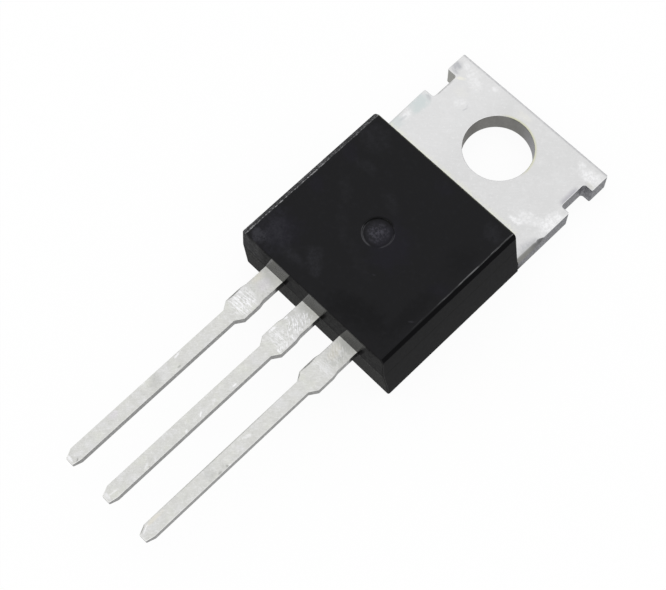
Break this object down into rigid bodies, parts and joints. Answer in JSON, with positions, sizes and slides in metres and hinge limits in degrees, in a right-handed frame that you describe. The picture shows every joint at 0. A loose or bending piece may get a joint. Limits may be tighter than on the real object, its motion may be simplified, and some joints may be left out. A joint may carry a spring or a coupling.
{
  "type": "voltage regulator",
  "caption": "Voltage regulator in a flat power package: a drilled metal heatsink tab, a black moulded body and straight leads out of one end.",
  "frame": {"origin": "centre of the mounting hole, on the mounting face at the back of the tab", "axes": "+Z out of the front of the package, +Y to the far end of the tab with the leads along -Y, +X towards the output lead"},
  "size_m": [0.01, 0.0292, 0.0045],
  "materials": {
    "tinned_copper": "matt tin plate over copper, lightly scuffed",
    "epoxy": "satin moulded epoxy",
    "silicon": "smooth",
    "solder": "dull",
    "bond_wire": "drawn"
  },
  "bodies": {
    "root": {"heatsink_tab": "tinned_copper", "input_lead": "tinned_copper", "output_lead": "tinned_copper", "moulded_body": "epoxy", "silicon_die": "silicon", "die_solder": "solder", "input_wire": "bond_wire", "output_wire": "bond_wire", "ground_wire": "bond_wire"}
  },
  "joints": []
}
